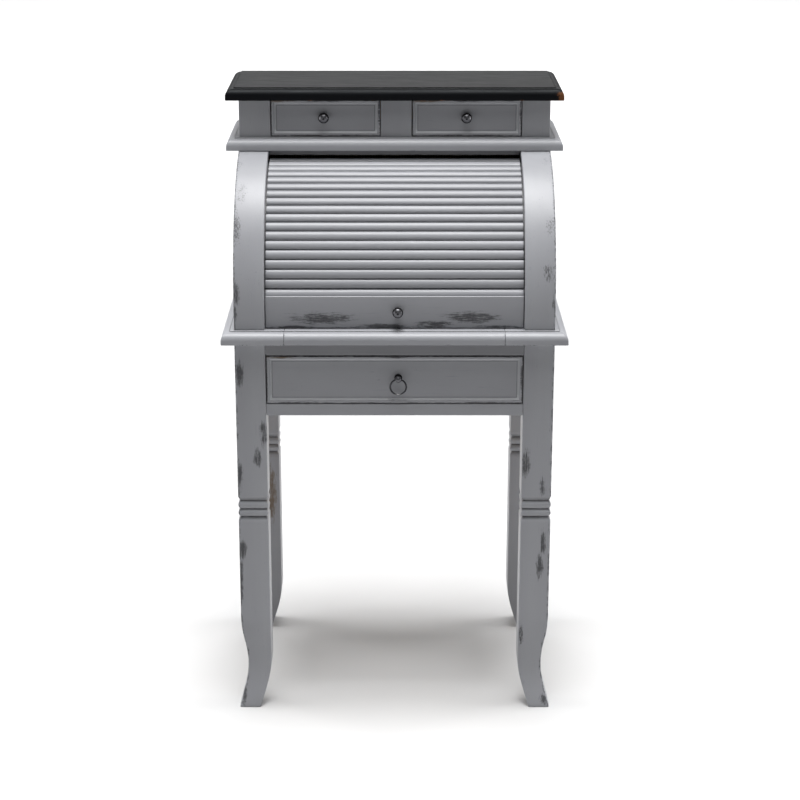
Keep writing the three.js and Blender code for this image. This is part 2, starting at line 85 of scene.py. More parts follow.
class Nodes:
    """Short calls for building one material's node tree."""

    def __init__(self, name):
        self.material = bpy.data.materials.new(name)
        self.material.use_nodes = True
        self.tree = self.material.node_tree
        self.tree.nodes.clear()
        self.output = self.add("ShaderNodeOutputMaterial")
        self.shader = self.add("ShaderNodeBsdfPrincipled")
        self.link(self.shader.outputs["BSDF"], self.output.inputs["Surface"])
        self.place = self.add("ShaderNodeTexCoord").outputs["Object"]

    def add(self, kind, **settings):
        node = self.tree.nodes.new(kind)
        for key, value in settings.items():
            setattr(node, key, value)
        return node

    def link(self, source, target):
        self.tree.links.new(source, target)

    def put(self, socket, value):
        if isinstance(value, bpy.types.NodeSocket):
            self.link(value, socket)
        else:
            socket.default_value = value

    def math(self, operation, a, b=0.0):
        node = self.add("ShaderNodeMath", operation=operation)
        self.put(node.inputs[0], a)
        self.put(node.inputs[1], b)
        return node.outputs[0]

    def vector(self, operation, a, b=(0, 0, 0), c=None):
        node = self.add("ShaderNodeVectorMath", operation=operation)
        self.put(node.inputs[0], a)
        self.put(node.inputs[1], b)
        if c is not None:
            self.put(node.inputs[2], c)
        return node

    def ramp(self, value, low, high, to_low=0.0, to_high=1.0):
        node = self.add("ShaderNodeMapRange", clamp=True, interpolation_type="SMOOTHSTEP")
        self.put(node.inputs["Value"], value)
        self.put(node.inputs["From Min"], low)
        self.put(node.inputs["From Max"], high)
        self.put(node.inputs["To Min"], to_low)
        self.put(node.inputs["To Max"], to_high)
        return node.outputs["Result"]

    def noise(self, scale, stretch=(1, 1, 1), detail=3.0, roughness=0.55, shift=0.0):
        shifted = self.vector("MULTIPLY_ADD", self.place, stretch, (shift, shift * 0.7, shift * 1.3))
        node = self.add("ShaderNodeTexNoise")
        self.put(node.inputs["Vector"], shifted.outputs[0])
        self.put(node.inputs["Scale"], scale)
        self.put(node.inputs["Detail"], detail)
        self.put(node.inputs["Roughness"], roughness)
        return node.outputs[0]

    def mix(self, factor, a, b):
        node = self.add("ShaderNodeMix", data_type="RGBA")
        self.put(node.inputs[0], factor)
        self.put(node.inputs[6], a)
        self.put(node.inputs[7], b)
        return node.outputs[2]

    def attribute(self, name):
        return self.add("ShaderNodeAttribute", attribute_name=name).outputs["Fac"]

    def spot(self, centre, reach):
        """1 at a place on the desk, falling to 0 at the ellipsoid "reach" round it."""
        scale = tuple(1 / r for r in reach)
        shift = tuple(-c / r for c, r in zip(centre, reach))
        away = self.vector("LENGTH", self.vector("MULTIPLY_ADD", self.place, scale, shift).outputs[0])
        return self.ramp(away.outputs["Value"], 1.0, 0.15)

    def spots(self, places):
        total = 0.0
        for centre, reach in places:
            total = self.math("MAXIMUM", total, self.spot(centre, reach))
        return total

    def bump(self, height, strength, distance, normal=None):
        node = self.add("ShaderNodeBump")
        self.put(node.inputs["Height"], height)
        self.put(node.inputs["Strength"], strength)
        self.put(node.inputs["Distance"], distance)
        if normal is not None:
            self.link(normal, node.inputs["Normal"])
        return node.outputs[0]

    def finish(self, colour, roughness, normal, **fixed):
        self.put(self.shader.inputs["Base Color"], colour)
        self.put(self.shader.inputs["Roughness"], roughness)
        self.link(normal, self.shader.inputs["Normal"])
        for name, value in fixed.items():
            self.shader.inputs[name.replace("_", " ")].default_value = value
        return self.material


def stretch(axis, share):
    """Coordinates squeezed along one axis to a share, which draws noise out along it."""
    return tuple(share if name == axis else 1.0 for name in "XYZ")


def grain_stretch(axis):
    """For wood grain."""
    return stretch(axis, 0.06)


def stroke_stretch(axis):
    """For short strokes where paint is rubbed off the grain."""
    return stretch(axis, 0.11)


PAINT = (0.270, 0.274, 0.293, 1)
PAINT_LIGHT = (0.302, 0.307, 0.326, 1)
# Paler paint for a painted highlight.
PAINT_HIGHLIGHT = (0.50, 0.51, 0.53, 1)
# Dark glaze in hollows, also used for painted shade.
GLAZE_AND_SHADE = (0.045, 0.043, 0.045, 1)
UNDERCOAT = (0.052, 0.052, 0.056, 1)
BROWN = (0.12, 0.075, 0.035, 1)
BLACK = (0.0022, 0.0022, 0.0026, 1)
BLACK_LIGHT = (0.0040, 0.0043, 0.0056, 1)
# Black of the hollows, also used for painted shade.
BLACK_GLAZE_AND_SHADE = (0.0012, 0.0012, 0.0014, 1)
RED_BROWN = (0.14, 0.055, 0.022, 1)
METAL = (0.045, 0.045, 0.050, 1)
METAL_RUBBED = (0.14, 0.14, 0.15, 1)
# Black of patina in hollows, also used for painted shade.
METAL_PATINA_AND_SHADE = (0.012, 0.012, 0.013, 1)
# Pale metal for a painted highlight.
METAL_HIGHLIGHT = (0.55, 0.55, 0.56, 1)


def paint(name, axis, rubbed=(), brown=(), seed=0.0, edge_wear=1.0, slat_gaps=False, shade=0.0):
    """Satin grey paint over grained wood, rubbed through to a dark undercoat at the edges and
    at the places in "rubbed", and to brown wood at the places in "brown". Glazing in hollows and
    painted shade in creases and gaps darken it where the mesh asks for it, the share "shade" of
    painted shade darkens the whole piece as if it lay in shadow, "slat_gaps" paints shade into the
    gaps between the slats, and the mesh can ask for a painted highlight."""
    n = Nodes(name)
    grain = n.noise(260, grain_stretch(axis), detail=5, roughness=0.6, shift=seed)
    broad = n.noise(9, grain_stretch(axis), detail=3, shift=seed + 3)
    blotch = n.noise(52, detail=5, roughness=0.68, shift=seed + 7)
    streaks = n.noise(420, stroke_stretch(axis), detail=5, roughness=0.72, shift=seed + 11)
    fine = n.noise(190, grain_stretch(axis), detail=4, roughness=0.65, shift=seed + 15)
    colour = n.mix(n.ramp(broad, 0.35, 0.7), PAINT, PAINT_LIGHT)
    colour = n.mix(n.ramp(grain, 0.60, 0.78, 0.0, 0.16), colour, UNDERCOAT)
    # Painted highlight where the mesh asks for it.
    colour = n.mix(n.attribute("painted_highlight"), colour, PAINT_HIGHLIGHT)

    breakup = n.math("ADD", n.math("MULTIPLY", blotch, 0.36), n.math("MULTIPLY", streaks, 0.64))
    edge = n.math("MULTIPLY", n.attribute("edge"), 0.25 * edge_wear)
    wear = n.ramp(n.math("ADD", breakup, edge), 0.68, 0.84)
    if rubbed:
        patch = n.math("MULTIPLY", n.spots(rubbed), 0.27)
        wear = n.math("MAXIMUM", wear, n.ramp(n.math("ADD", breakup, patch), 0.60, 0.80))
    colour = n.mix(n.math("MULTIPLY", wear, 0.90), colour, UNDERCOAT)
    if brown:
        bare = n.ramp(n.math("ADD", breakup, n.math("MULTIPLY", n.spots(brown), 0.30)), 0.62, 0.84)
        colour = n.mix(n.math("MULTIPLY", bare, 0.8), colour, BROWN)
        wear = n.math("MAXIMUM", wear, bare)

    # Glazing in hollows and painted shade in creases and gaps, as the mesh gives them.
    glaze_and_shade = n.math("MULTIPLY", n.attribute("glaze_and_shade"), n.ramp(blotch, 0.25, 0.6, 0.55, 1.0))
    # Painted shade: a share that darkens the whole piece as if it lay in shadow.
    if shade:
        glaze_and_shade = n.math("MAXIMUM", glaze_and_shade, n.ramp(broad, 0.3, 0.7, shade * 0.85, shade * 1.15))
    # Painted shade in the gaps between the slats, with a tan stain there too.
    if slat_gaps:
        flat = n.vector("MULTIPLY_ADD", n.place, (0, 1, 1), (0, -ARCH_Y, -ARCH_Z))
        radius = n.vector("LENGTH", flat.outputs[0]).outputs["Value"]
        deep = n.ramp(radius, CANVAS_R + 0.0058, CANVAS_R + 0.0026)
        glaze_and_shade = n.math("MAXIMUM", glaze_and_shade, n.math("MULTIPLY", deep, n.ramp(fine, 0.2, 0.7, 0.9, 1.0)))
        tan = n.math("MULTIPLY", deep, n.ramp(blotch, 0.55, 0.7))
        colour = n.mix(n.math("MULTIPLY", tan, 0.7), colour, BROWN)
    colour = n.mix(n.math("MULTIPLY", glaze_and_shade, 0.8), colour, GLAZE_AND_SHADE)

    roughness = n.ramp(n.math("ADD", wear, n.math("MULTIPLY", grain, 0.25)), 0.0, 1.2, 0.42, 0.72)
    ridges = n.bump(grain, 0.16, 0.0006)
    brushed = n.bump(broad, 0.10, 0.002, ridges)
    sunk = n.bump(n.math("SUBTRACT", 1.0, wear), 0.35, 0.0004, brushed)
    return n.finish(colour, roughness, sunk, Specular_IOR_Level=0.42)


def black_paint(name, axis, brown):
    """Satin black paint with open grain, a dull sheen, and brown wood at its worn corners."""
    n = Nodes(name)
    grain = n.noise(300, grain_stretch(axis), detail=5, roughness=0.65)
    broad = n.noise(11, grain_stretch(axis), detail=3, shift=3)
    blotch = n.noise(42, detail=4, roughness=0.62, shift=7)
    colour = n.mix(n.ramp(broad, 0.3, 0.7), BLACK, BLACK_LIGHT)
    edge = n.math("MULTIPLY", n.attribute("edge"), 0.16)
    bare = n.math("ADD", n.math("ADD", blotch, edge), n.math("MULTIPLY", n.spots(brown), 0.34))
    bare = n.ramp(bare, 0.76, 0.9)
    colour = n.mix(n.math("MULTIPLY", bare, 0.75), colour, RED_BROWN)
    # Glazing and painted shade darken the moulding's quirk.
    colour = n.mix(n.math("MULTIPLY", n.attribute("glaze_and_shade"), 0.9), colour, BLACK_GLAZE_AND_SHADE)
    roughness = n.math("MAXIMUM", n.ramp(grain, 0.3, 0.8, 0.42, 0.56), n.attribute("glaze_and_shade"))
    n.shader.inputs["Specular Tint"].default_value = (0.90, 0.96, 1.0, 1)
    pores = n.bump(grain, 0.28, 0.0006)
    normal = n.bump(broad, 0.12, 0.002, pores)
    return n.finish(colour, roughness, normal, Specular_IOR_Level=0.09)


def bare_wood(name, axis, light, dark, seed=0.0, rings=True):
    """Planed wood with year rings drawn out along the board, or closer ones as in veneer."""
    n = Nodes(name)
    warp = n.noise(5, grain_stretch(axis), detail=2, shift=seed)
    bands = n.add("ShaderNodeTexWave", wave_type="RINGS", rings_direction=axis)
    pith = n.vector("MULTIPLY_ADD", n.place, (1, 1, 1), (0.31 + seed, 0.22, 0.17 + seed * 0.3))
    n.link(pith.outputs[0], bands.inputs["Vector"])
    n.put(bands.inputs["Scale"], 26 if rings else 60)
    n.put(bands.inputs["Distortion"], 4)
    n.put(bands.inputs["Detail"], 3)
    n.put(bands.inputs["Detail Scale"], 1.2)
    fine = n.noise(330, grain_stretch(axis), detail=5, roughness=0.7, shift=seed + 5)
    tone = n.math("ADD", n.math("MULTIPLY", bands.outputs["Fac"], 0.55), n.math("MULTIPLY", warp, 0.5))
    colour = n.mix(n.ramp(tone, 0.2, 0.95), light, dark)
    colour = n.mix(n.ramp(fine, 0.55, 0.8, 0.0, 0.35), colour, tuple(c * 0.45 for c in dark[:3]) + (1,))
    roughness = n.ramp(fine, 0.2, 0.8, 0.55, 0.75)
    normal = n.bump(fine, 0.25, 0.0005)
    return n.finish(colour, roughness, normal, Specular_IOR_Level=0.35)


def antique_metal(name):
    """Dark cast metal, slightly pitted, rubbed lighter by fingers, black in its hollows, darkened by
    painted shade where the mesh asks for it, and lightened by a painted highlight where it asks for that.
    """
    n = Nodes(name)
    cloud = n.noise(240, detail=4, roughness=0.6)
    pits = n.noise(1100, detail=2, shift=4)
    polished = n.math("ADD", n.math("MULTIPLY", n.attribute("edge"), 0.5), n.math("MULTIPLY", cloud, 0.5))
    glaze_and_shade = n.attribute("glaze_and_shade")
    colour = n.mix(n.ramp(polished, 0.25, 0.8), METAL, METAL_RUBBED)
    # Patina in hollows, and painted shade round the rims of the knobs' domes.
    colour = n.mix(glaze_and_shade, colour, METAL_PATINA_AND_SHADE)
    # Painted highlight inside the ring's lowest part.
    colour = n.mix(n.attribute("painted_highlight"), colour, METAL_HIGHLIGHT)
    roughness = n.math("MAXIMUM", n.ramp(cloud, 0.3, 0.7, 0.40, 0.30), n.math("MULTIPLY", glaze_and_shade, 0.8))
    normal = n.bump(pits, 0.18, 0.0003, n.bump(cloud, 0.1, 0.0005))
    return n.finish(colour, roughness, normal, Metallic=0.85, Specular_IOR_Level=0.5)


# ---------------------------------------------------------------- mesh helpers

def make(name, points, faces, node, material, slot="grey_paint", smooth=32.0):
    """A piece that stands for a CAD node. A point is (x, y, z), then as far as they're needed how
    much it is worn as an edge, darkened by glazing and painted shade, and lightened by a painted
    highlight. Edges sharper than "smooth" degrees stay sharp."""
    mesh = bpy.data.meshes.new(name)
    mesh.from_pydata([p[:3] for p in points], [], faces)
    for column, attribute in enumerate(("edge", "glaze_and_shade", "painted_highlight"), start=3):
        values = mesh.attributes.new(attribute, "FLOAT", "POINT")
        values.data.foreach_set("value", [p[column] if len(p) > column else 0.0 for p in points])
    work = bmesh.new()
    work.from_mesh(mesh)
    bmesh.ops.recalc_face_normals(work, faces=work.faces)
    work.to_mesh(mesh)
    work.free()
    mesh.materials.append(material)
    mesh.polygons.foreach_set("use_smooth", [True] * len(mesh.polygons))
    mesh.set_sharp_from_angle(angle=math.radians(smooth))
    piece = bpy.data.objects.new(name, mesh)
    scene.collection.objects.link(piece)
    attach(piece, frame["nodes"][node]["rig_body"])
    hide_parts(node)
    return piece


def loft(rings):
    """Points and faces of a closed body through rings that all have the same number of points."""
    count = len(rings[0])
    points = [p for ring in rings for p in ring]
    faces = [list(range(count))[::-1]]
    for r in range(len(rings) - 1):
        a, b = r * count, (r + 1) * count
        for i in range(count):
            j = (i + 1) % count
            faces.append((a + i, a + j, b + j, b + i))
    faces.append(list(range(len(points) - count, len(points))))
    return points, faces


def rounded_ring(u0, u1, v0, v1, radius, support=0.010):
    """A rounded rectangle as (u, v, edge), with extra points beside each corner so that wear
    fades away from it. It runs anticlockwise from the lower left corner."""
    centres = [(u0 + radius, v0 + radius, 180), (u1 - radius, v0 + radius, 270),
               (u1 - radius, v1 - radius, 0), (u0 + radius, v1 - radius, 90)]
    directions = [(1, 0), (0, 1), (-1, 0), (0, -1)]
    lengths = [u1 - u0, v1 - v0, u1 - u0, v1 - v0]
    ring = []
    for side, (cu, cv, start) in enumerate(centres):
        for step in range(4):
            angle = math.radians(start + 30 * step)
            ring.append((cu + radius * math.cos(angle), cv + radius * math.sin(angle), 1.0))
        du, dv = directions[side]
        free = lengths[side] - 2 * radius
        near = min(support * 0.3, free * 0.12)
        far = min(support, free * 0.35)
        corner_u, corner_v = ring[-1][0], ring[-1][1]
        for distance, value in ((near, 0.45), (far, 0.0), (free - far, 0.0), (free - near, 0.45)):
            ring.append((corner_u + du * distance, corner_v + dv * distance, value))
    return ring


AXES = {"X": (0, 1, 2), "Y": (1, 2, 0), "Z": (2, 0, 1)}


def cap_stations(length, radius, width):
    """(distance along, inset, edge) from the middle of one end of a body to its other end."""
    inner = min(0.010, width * 0.42)
    near, far = min(0.003, length * 0.1), min(0.010, length * 0.3)
    start = [(0, inner, 0), (0, min(0.0035, inner * 0.5), 0.45), (0, radius, 1),
             (radius * 0.3, radius * 0.3, 1), (radius, 0, 1), (near, 0, 0.45), (far, 0, 0)]
    middle = [(length * k / 6, 0, 0) for k in range(1, 6) if far < length * k / 6 < length - far]
    return [*start, *middle, *[(length - at, inset, edge) for at, inset, edge in reversed(start)]]


def bar(low, high, axis, radius=0.0012):
    """An eased board or bar between two corners, lofted along its axis."""
    w, u, v = AXES[axis]
    width = min(high[u] - low[u], high[v] - low[v])
    rings = []
    for at, inset, end_edge in cap_stations(high[w] - low[w], radius, width):
        ring = []
        for pu, pv, edge in rounded_ring(low[u] + inset, high[u] - inset, low[v] + inset,
                                         high[v] - inset, min(radius, width * 0.07)):
            point = [0.0, 0.0, 0.0]
            point[w], point[u], point[v] = low[w] + at, pu, pv
            ring.append((*point, end_edge if inset > radius else max(edge, end_edge), 0.0))
        rings.append(ring)
    return loft(rings)


def add_bar(node, material, axis, radius=0.0012, slot="grey_paint"):
    make(f"{node}_board", *bar(*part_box(node), axis, radius), node, material, slot)


def offset(outline, distance):
    """A flat outline moved inwards; the outline runs clockwise or anticlockwise."""
    area = sum(a[0] * b[1] - b[0] * a[1] for a, b in zip(outline, outline[1:] + outline[:1]))
    turn = 1 if area > 0 else -1
    moved_points = []
    for index, (u, v) in enumerate(outline):
        before, after = outline[index - 1], outline[(index + 1) % len(outline)]
        a = Vector((u - before[0], v - before[1])).normalized()
        b = Vector((after[0] - u, after[1] - v)).normalized()
        normal = Vector((-a.y - b.y, a.x + b.x)) * turn
        share = distance / max(0.2, normal.length_squared / 2)
        moved_points.append((u + normal.x * share, v + normal.y * share))
    return moved_points


def slab(outline, node, material):
    """A flat (y, z) outline drawn out along X, with eased arrises that carry the wear."""
    radius, width = 0.0008, 0.03
    low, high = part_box(node)
    rings = []
    for at, inset, edge in cap_stations(high.x - low.x, radius, width):
        rings.append([(low.x + at, y, z, edge, 0.0) for y, z in offset(outline, inset)])
    make(f"{node}_panel", *loft(rings), node, material)


def lathe(profile, segments=48):
    """A closed turned body about Z from (radius, height, edge, darkening by glazing and painted
    shade) points; the ends lie on the axis."""
    points, faces = [(0, 0, *profile[0][1:])], []
    for radius, height, edge, glaze_and_shade in profile[1:-1]:
        for k in range(segments):
            angle = 2 * math.pi * k / segments
            points.append((radius * math.cos(angle), radius * math.sin(angle), height, edge, glaze_and_shade))
    points.append((0, 0, *profile[-1][1:]))
    last = len(points) - 1
    for k in range(segments):
        j = (k + 1) % segments
        faces.append((0, 1 + j, 1 + k))
        for ring in range(len(profile) - 3):
            a, b = 1 + ring * segments, 1 + (ring + 1) * segments
            faces.append((a + k, a + j, b + j, b + k))
        top = 1 + (len(profile) - 3) * segments
        faces.append((last, top + k, top + j))
    return points, faces


def moved(points, origin, direction):
    """Points about Z turned so that Z points along a direction, and put at an origin."""
    turn = Vector((0, 0, 1)).rotation_difference(Vector(direction))
    out = []
    for p in points:
        q = turn @ Vector(p[:3]) + Vector(origin)
        out.append((q.x, q.y, q.z, *p[3:]))
    return out


# ---------------------------------------------------------------- legs

RING_LOW, RING_GROOVES, RING_HIGH, RING_DEPTH = 0.396, (0.4028, 0.4185, 0.4355), 0.444, 0.004
LEG_OUTER, LEG_WIDTH = 0.3015, 0.058
WAIST_WIDTH, WAIST_HEIGHT, SABRE_TOP = 0.0465, 0.090, 0.190
SOLE_OUT, SOLE_IN = 0.006, 0.0355       # beyond the outer face, and behind it, at the floor


def bezier(p0, p1, p2, p3, t):
    s = 1 - t
    return s ** 3 * p0 + 3 * s * s * t * p1 + 3 * s * t * t * p2 + t ** 3 * p3


def curve_at(height, heights, values):
    """The value of a Bezier face at a height; both go through the same four control points."""
    low, high = 0.0, 1.0
    for _ in range(30):
        middle = (low + high) / 2
        if bezier(*heights, middle) < height:
            low = middle
        else:
            high = middle
    return bezier(*values, (low + high) / 2)


def foot_outer(height):
    """How far the kicking face stands out from the straight leg's face, negative when in."""
    waist = WAIST_WIDTH - LEG_WIDTH
    if height >= SABRE_TOP:
        return 0.0
    if height >= WAIST_HEIGHT:
        span = SABRE_TOP - WAIST_HEIGHT
        heights = (WAIST_HEIGHT, WAIST_HEIGHT + span * 0.4, SABRE_TOP - span * 0.4, SABRE_TOP)
        return curve_at(height, heights, (waist, waist, 0.0, 0.0))
    heights = (0.0, WAIST_HEIGHT * 0.36, WAIST_HEIGHT * 0.62, WAIST_HEIGHT)
    return curve_at(height, heights, (SOLE_OUT, SOLE_OUT + (waist - SOLE_OUT) * 0.45, waist, waist))


def foot_inner(height):
    """How far the inner face has moved towards the outer one."""
    top = WAIST_HEIGHT + 0.012
    sole = LEG_WIDTH - SOLE_IN
    if height >= top:
        return 0.0
    heights = (0.0, top * 0.36, top * 0.62, top)
    return curve_at(height, heights, (sole, sole - sole * 0.45, 0.0, 0.0))


def ring_depth(height):
    """How deep the turned rings cut into each face."""
    low, middle, high = RING_GROOVES
    if RING_LOW < height <= low:
        share = (height - RING_LOW) / (low - RING_LOW)
    elif high <= height < RING_HIGH:
        share = (RING_HIGH - height) / (RING_HIGH - high)
    elif low < height < high:
        start, end = (low, middle) if height < middle else (middle, high)
        across = (height - start) / (end - start) * 2 - 1
        share = across * across
    else:
        share = 0.0
    return RING_DEPTH * share


def leg_heights():
    heights = [0.0, 0.0006, 0.002]
    heights += [0.008 * k for k in range(1, 25)]
    heights += [0.21, 0.25, 0.30, 0.34, 0.37, 0.388, RING_LOW]
    low, middle, high = RING_GROOVES
    heights += [low - 0.0007, low]
    for start, end in ((low, middle), (middle, high)):
        for k in range(1, 16):
            heights.append(start + (end - start) * k / 16)
        heights.append(end)
    heights += [high + 0.0007, RING_HIGH, RING_HIGH + 0.003, 0.46, 0.50, 0.55, 0.60, 0.65, 0.70, 0.754]
    return sorted(heights)


def add_leg(node, side, front, material):
    """A leg on the left (side -1) or the right (side 1). Only front legs also kick forwards."""
    low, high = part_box(node)
    y_front = high.y - LEG_WIDTH if front else low.y
    middle = LEG_OUTER - LEG_WIDTH / 2
    rings = []
    for z in leg_heights():
        ring_cut = ring_depth(z)
        out = LEG_OUTER + foot_outer(z) - ring_cut
        inn = LEG_OUTER - LEG_WIDTH + foot_inner(z) + ring_cut
        y0 = y_front + ring_cut
        y1 = y_front + LEG_WIDTH - ring_cut
        if front:
            y0 -= foot_outer(z)
            y1 -= foot_inner(z)
        x0, x1 = (inn, out) if side > 0 else (-out, -inn)
        inset = max(0.0, 0.0012 - z) if z < 0.0012 else 0.0
        glaze_and_shade = max(0.0, *[1 - abs(z - groove) / 0.0025 for groove in RING_GROOVES])
        ring = []
        for u, v, e in rounded_ring(x0 + inset, x1 - inset, y0 + inset, y1 - inset, 0.0022):
            edge = 1.0 if z < 0.0015 else e if abs(u) > middle else e * 0.45
            ring.append((u, v, z, edge, glaze_and_shade))
        rings.append(ring)
    make(f"{node}_turned", *loft(rings), node, material)


# ---------------------------------------------------------------- moulded boards

def mould_profile(thickness):
    """A moulded edge from the underside up, as (inset, height, edge, darkening by glazing and painted
    shade).
    """
    flat, inset, step = 0.008, 0.016, 0.0015
    rise = thickness - flat - step
    points = [(0.0140, 0.0, 0, 0), (0.0050, 0.0, 0.4, 0), (0.0010, 0.0, 1, 0)]
    points += [(0.0, 0.0010, 1, 0), (0.0, 0.0032, 0.3, 0), (0.0, flat, 0.0, 0)]
    for k in range(1, 14):
        angle = math.pi / 2 * k / 14
        points.append((inset * 0.95 * (1 - math.cos(angle)), flat + rise * math.sin(angle), 0.1, 0))
    top = flat + rise
    return points + [
        # Glazing and painted shade darken the quirk below the top's step.
        (inset * 0.93, top, 0.1, 0.0), (inset * 0.955, top - 0.0010, 0, 0.9), (inset, top - 0.0010, 0, 1.0),
        (inset + 0.0001, top + step - 0.0004, 0.4, 0.5), (inset + 0.0006, thickness, 0.8, 0),
        (inset + 0.004, thickness, 0.4, 0), (inset + 0.012, thickness, 0, 0),
    ]


def moulded(node, moulded_sides, material, slot="grey_paint", body=None):
    """A board whose named sides are moulded; its other sides are square with eased arrises."""
    low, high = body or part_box(node)
    thickness = high.z - low.z
    rings = []
    for inset, height, edge, glaze_and_shade in mould_profile(thickness):
        eased = 0.0005 if height < 0.0004 or height > thickness - 0.0004 else 0.0
        square = eased if inset <= 0.018 else inset - 0.016
        x0 = low.x + (inset if "left" in moulded_sides else square)
        x1 = high.x - (inset if "right" in moulded_sides else square)
        y0 = low.y + (inset if "front" in moulded_sides else square)
        y1 = high.y - square
        ring = rounded_ring(x0, x1, y0, y1, 0.0009, support=0.020)
        rings.append([(u, v, low.z + height, max(edge, e * 0.8), glaze_and_shade * (1 - 0.5 * e)) for u, v, e in ring])
    make(f"{node}_moulded", *loft(rings), node, material, slot)


# ---------------------------------------------------------------- hutch

def arch(radius, degrees):
    """The (y, z) of a point on the arch, by its angle up from the front."""
    angle = math.radians(degrees)
    return ARCH_Y - radius * math.cos(angle), ARCH_Z + radius * math.sin(angle)


def add_band(node, material):
    """A curved band: its rounded section is carried round the arch from the desktop upwards.
    Only its outer side is worn."""
    low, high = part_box(node)
    middle = (low.x + high.x) / 2
    corners = rounded_ring(low.x, high.x, BAND_INNER, BAND_OUTER, 0.0016, support=0.012)
    section = [(x, radius, edge if abs(x) > abs(middle) else 0.0) for x, radius, edge in corners]
    rings = []
    for height, glaze_and_shade in ((0.0, 0.8), (0.0015, 0.4), (0.004, 0.0), (0.012, 0.0), (0.024, 0.0)):
        rings.append([(x, ARCH_Y - radius, low.z + height, edge, glaze_and_shade) for x, radius, edge in section])
    for angle in (*(1.5 * k for k in range(60)), 89.9):
        ring = []
        for x, radius, edge in section:
            y, z = arch(radius, angle)
            ring.append((x, y, min(z, high.z), edge, 0.0))
        rings.append(ring)
    make(f"{node}_bent", *loft(rings), node, material)


def hutch_side_outline():
    """The panel behind a band, as (y, z)."""
    low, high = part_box("hutch_side_left")
    radius = BAND_INNER - 0.0003
    points = [(ARCH_Y - radius, low.z)]
    points += [arch(radius, 90 * k / 48) for k in range(49)]
    points += [(ARCH_Y + 0.0003, high.z), (high.y, high.z), (high.y, low.z)]
    return points


def liner_outline():
    """The inner wall that the tambour passes round and behind, as (y, z)."""
    low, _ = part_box("hutch_liner_left")
    front, bend = CANVAS_R - LINER_DROP, CANVAS_BEND - LINER_DROP
    cy, cz = arch(CANVAS_R - CANVAS_BEND, BEND_FROM)
    points = [(ARCH_Y - front, low.z)] + [arch(front, BEND_FROM * k / 36) for k in range(37)]
    for k in range(1, 29):
        angle = math.radians(BEND_FROM + (180 - BEND_FROM) * k / 28)
        points.append((cy - bend * math.cos(angle), cz + bend * math.sin(angle)))
    points.append((cy + bend, low.z))
    return points


# ---------------------------------------------------------------- tambour

def along_x(section, tongue_top, wobble=None):
    """Carries a (along, out, edge, darkening by glazing and painted shade) section along X; past the
    visible length it thins to a tongue that reaches out no further than its top."""
    half, tongue = TAMBOUR_HALF, TONGUE_HALF
    stations = [-tongue, -tongue + 0.001, -half - 0.0002, -half, -half + 0.0006]
    stations += [-half + 2 * half * k / 28 for k in range(1, 28)]
    stations += [half - 0.0006, half, half + 0.0002, tongue - 0.001, tongue]
    rings = []
    for x in stations:
        ring = []
        for along, out, edge, glaze_and_shade in section:
            if abs(x) > half:
                out, edge = min(out, tongue_top), 0.0
            elif abs(x) > half - 0.0003:
                edge = max(edge, 0.8)
            if wobble:
                along, out = wobble(x, along, out)
            ring.append((x, along, out, edge, glaze_and_shade))
        rings.append(ring)
    return rings


def slat_section():
    """A half-round slat as (along the canvas, out from it, edge, darkening by glazing and painted shade)."""
    half = SLAT_WIDTH / 2
    points = [(-half, 0.0, 0, 1), (half, 0.0, 0, 1), (half, SLAT_EDGE * 0.8, 0, 1)]
    for k in range(23):
        angle = math.pi * k / 22
        worn = 0.1 * max(0.0, math.sin(angle)) ** 6
        height = SLAT_EDGE + (SLAT_HEIGHT - SLAT_EDGE) * math.sin(angle)
        points.append((half * math.cos(angle), height, worn, 0))
    points.append((-half, SLAT_EDGE * 0.8, 0, 1))
    return points


def add_slat(index, material):
    node = f"tambour_slat_{index + 1:02d}"
    angle = SLAT_FIRST + SLAT_PITCH * (index + 0.5)
    cy, cz = arch(CANVAS_R, angle)
    sine, cosine = math.sin(math.radians(angle)), math.cos(math.radians(angle))

    def wobble(x, along, out):
        """Sands the crown down a little, unevenly along the slat."""
        drift = 0.00022 * noise.noise(Vector((x * 9, index * 3.7, 0.0)))
        return along, out + (drift if out > SLAT_EDGE * 1.5 else 0.0) - (0.0002 if out > 0.008 else 0)

    rings = []
    for ring in along_x(slat_section(), SLAT_EDGE, wobble):
        rings.append([(x, cy + sine * along - cosine * out, cz + cosine * along + sine * out, edge, glaze_and_shade)
                      for x, along, out, edge, glaze_and_shade in ring])
    make(f"{node}_turned", *loft(rings), node, material)


def rail_section():
    """The bottom rail's section as (degrees, radius, edge, darkening by glazing and painted shade),
    then its inner face.
    """
    low, top, end = -7.2, 6.3, 9.0
    face, bead, bead_top = 0.2625, 0.2565, 0.248
    points = [(low, face - 0.0012, 1, 0), (low + 0.2, face, 1, 0), (low + 0.7, face, 0.5, 0)]
    points += [(low + k, face, 0, 0) for k in (2.2, 4.2, 6.2, 8.2, 10.2)]
    points += [(top - 1.4, face, 0, 0), (top - 0.65, face, 0.1, 0), (top - 0.15, face, 0.2, 0),
               (top, face - 0.0006, 0.2, 0), (top, bead + 0.0015, 0, 0), (top, bead, 0, 0.15)]
    for k in range(1, 15):
        angle = math.pi / 2 * k / 14
        radius = bead_top + (bead - bead_top) * math.cos(angle)
        points.append((top + (end - top) * math.sin(angle), radius, 0, 0.6 if k > 13 else 0))
    points += [(end, CANVAS_R + 0.0012, 0, 1), (end, CANVAS_R, 0, 1)]
    points += [(end - 4, CANVAS_R, 0, 0), (low + 6, CANVAS_R, 0, 0), (low, CANVAS_R, 0, 0)]
    return points


def add_rail(material):
    rings = []
    for ring in along_x(rail_section(), CANVAS_R + SLAT_EDGE):
        rings.append([(x, *arch(radius, degrees), edge, glaze_and_shade) for x, degrees, radius, edge, glaze_and_shade in ring])
    make("tambour_rail_bent", *loft(rings), "tambour_rail", material)


# ---------------------------------------------------------------- drawers and pulls

